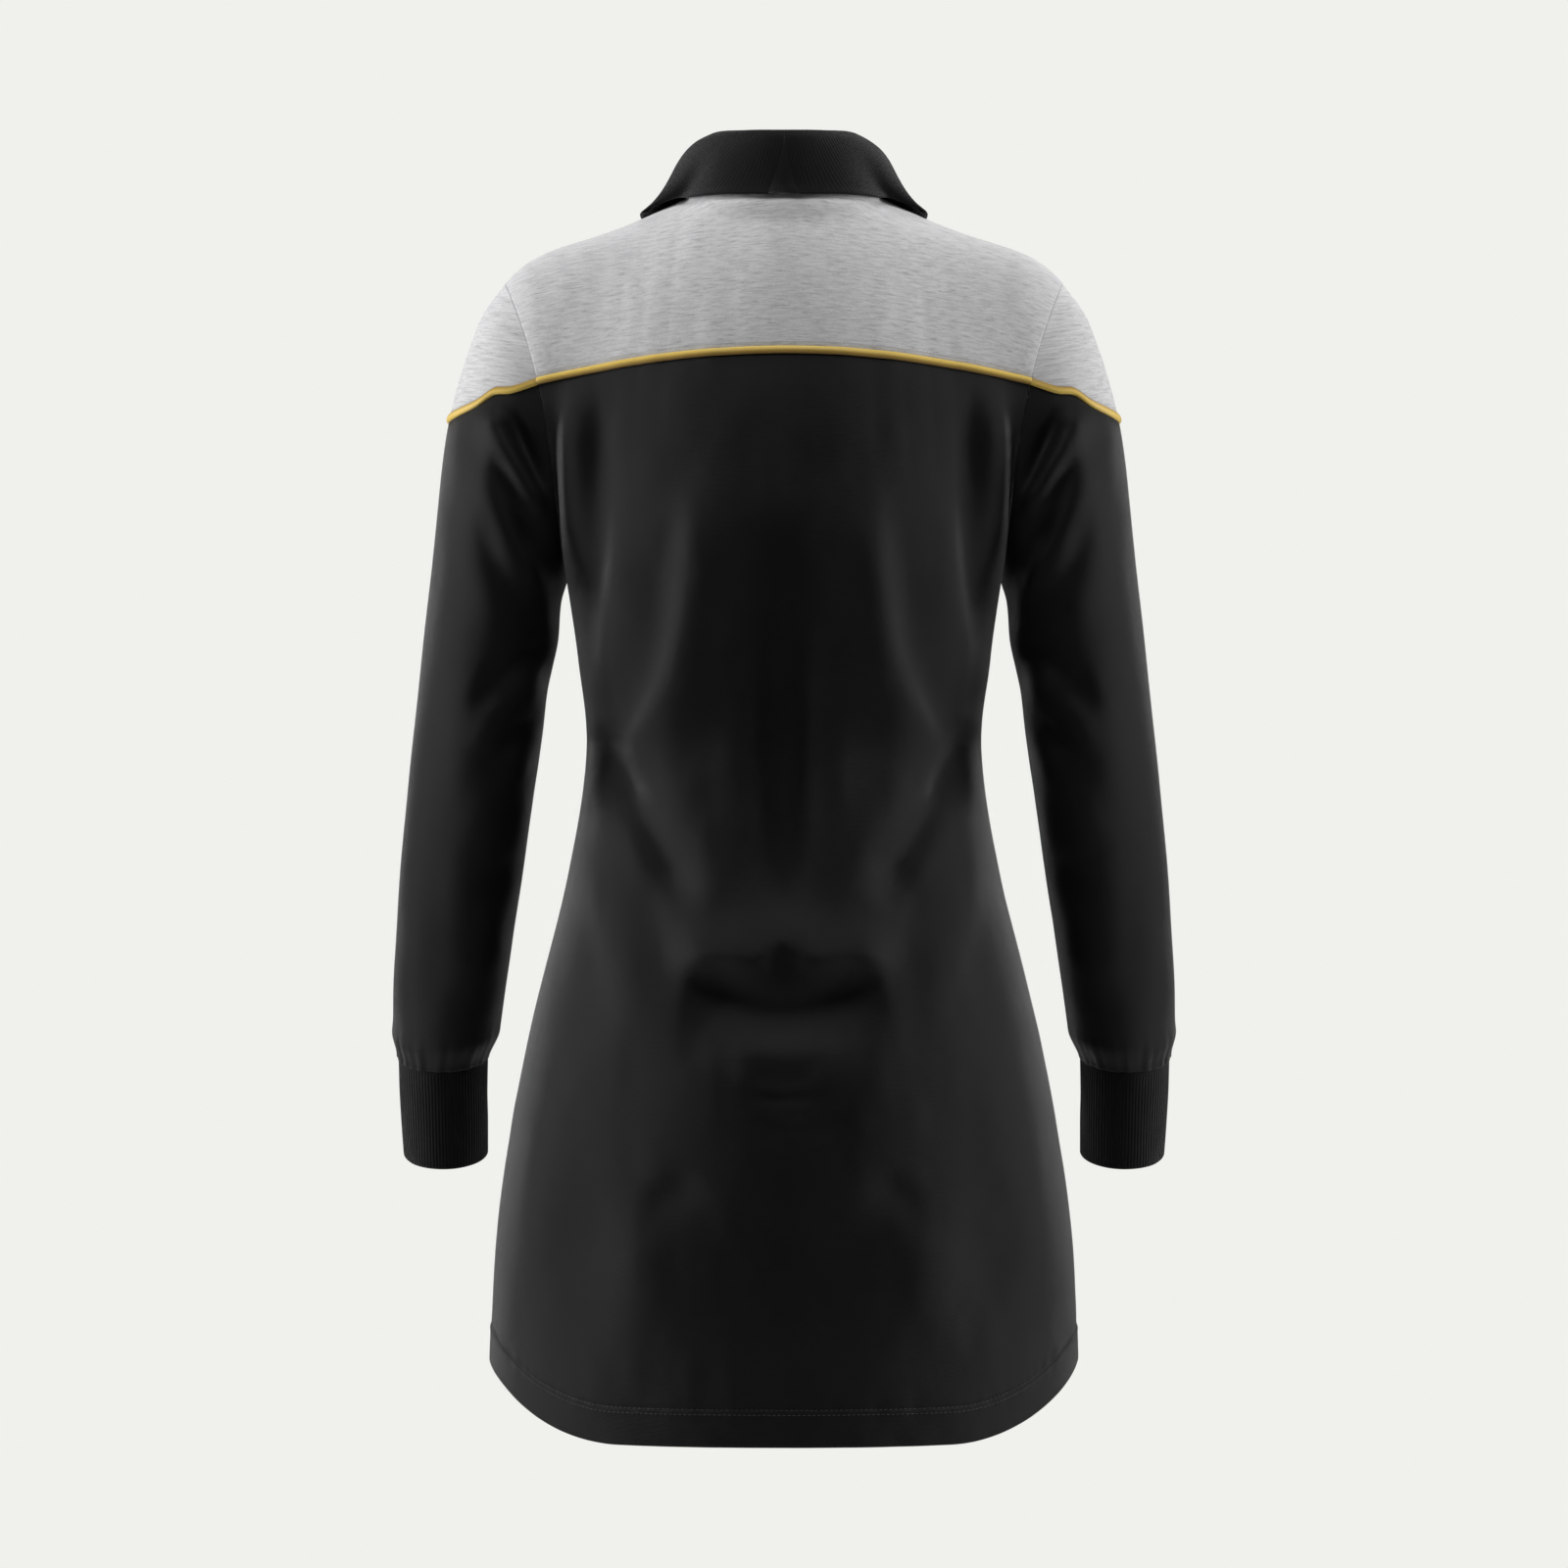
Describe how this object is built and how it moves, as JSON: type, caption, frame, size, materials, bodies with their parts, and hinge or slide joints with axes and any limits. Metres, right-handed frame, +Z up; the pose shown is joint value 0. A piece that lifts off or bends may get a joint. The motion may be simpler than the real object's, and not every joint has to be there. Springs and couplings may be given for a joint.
{
  "type": "cheer uniform dress",
  "caption": "Black long-sleeved polo dress with grey yokes, gold piping, rib collar and cuffs; sleeves lift and bend.",
  "frame": {"origin": "middle of the neck opening, level with the high points of the shoulders, where a body or a mannequin holds the dress up", "axes": "+Z up; the front faces -Y and the back faces +Y; +X is the wearer's left"},
  "size_m": [0.569, 0.284, 0.9189],
  "materials": {
    "black_jersey": "matte",
    "grey_jersey": "matte",
    "gold_piping": "satin",
    "black_rib": "matte",
    "buttons": "gloss",
    "tape": "satin"
  },
  "bodies": {
    "dress_body": {"back_body_panel": "black_jersey", "front_body_panel": "black_jersey", "placket_top": "black_jersey", "placket_under": "black_jersey", "back_yoke": "grey_jersey", "front_yoke_left": "grey_jersey", "front_yoke_right": "grey_jersey", "back_yoke_piping": "gold_piping", "front_yoke_piping_left": "gold_piping", "front_yoke_piping_right": "gold_piping", "collar": "black_rib", "button_1": "buttons", "button_2": "buttons", "button_3": "buttons", "neck_tape": "tape", "size_label": "tape"},
    "left_upper_arm": {"left_sleeve_cap": "grey_jersey", "left_sleeve_piping": "gold_piping", "left_sleeve": "black_jersey"},
    "left_lower_arm": {"left_forearm": "black_jersey", "left_cuff": "black_rib"},
    "right_upper_arm": {"right_sleeve_cap": "grey_jersey", "right_sleeve_piping": "gold_piping", "right_sleeve": "black_jersey"},
    "right_lower_arm": {"right_forearm": "black_jersey", "right_cuff": "black_rib"},
    "care_label": {"care_label": "tape"}
  },
  "joints": [
    {"name": "left_sleeve_lift", "type": "hinge", "parent": "dress_body", "child": "left_upper_arm", "pos_m": [0.172, 0, -0.106], "axis": [0, -1, 0], "range_deg": [0, 45], "deforming": ["left_sleeve_cap", "left_sleeve_piping", "left_sleeve"]},
    {"name": "left_elbow_bend", "type": "hinge", "parent": "left_upper_arm", "child": "left_lower_arm", "pos_m": [0.223, -0.004, -0.418], "axis": [-1, 0, 0], "range_deg": [0, 50], "deforming": ["left_forearm"]},
    {"name": "right_sleeve_lift", "type": "hinge", "parent": "dress_body", "child": "right_upper_arm", "pos_m": [-0.172, 0, -0.106], "axis": [0, 1, 0], "range_deg": [0, 45], "deforming": ["right_sleeve_cap", "right_sleeve_piping", "right_sleeve"]},
    {"name": "right_elbow_bend", "type": "hinge", "parent": "right_upper_arm", "child": "right_lower_arm", "pos_m": [-0.223, -0.004, -0.418], "axis": [-1, 0, 0], "range_deg": [0, 50], "deforming": ["right_forearm"]},
    {"name": "care_label_turn", "type": "hinge", "parent": "dress_body", "child": "care_label", "pos_m": [0.1975, 0, -0.736], "axis": [0, 0, 1], "range_deg": [-10, 130]}
  ]
}
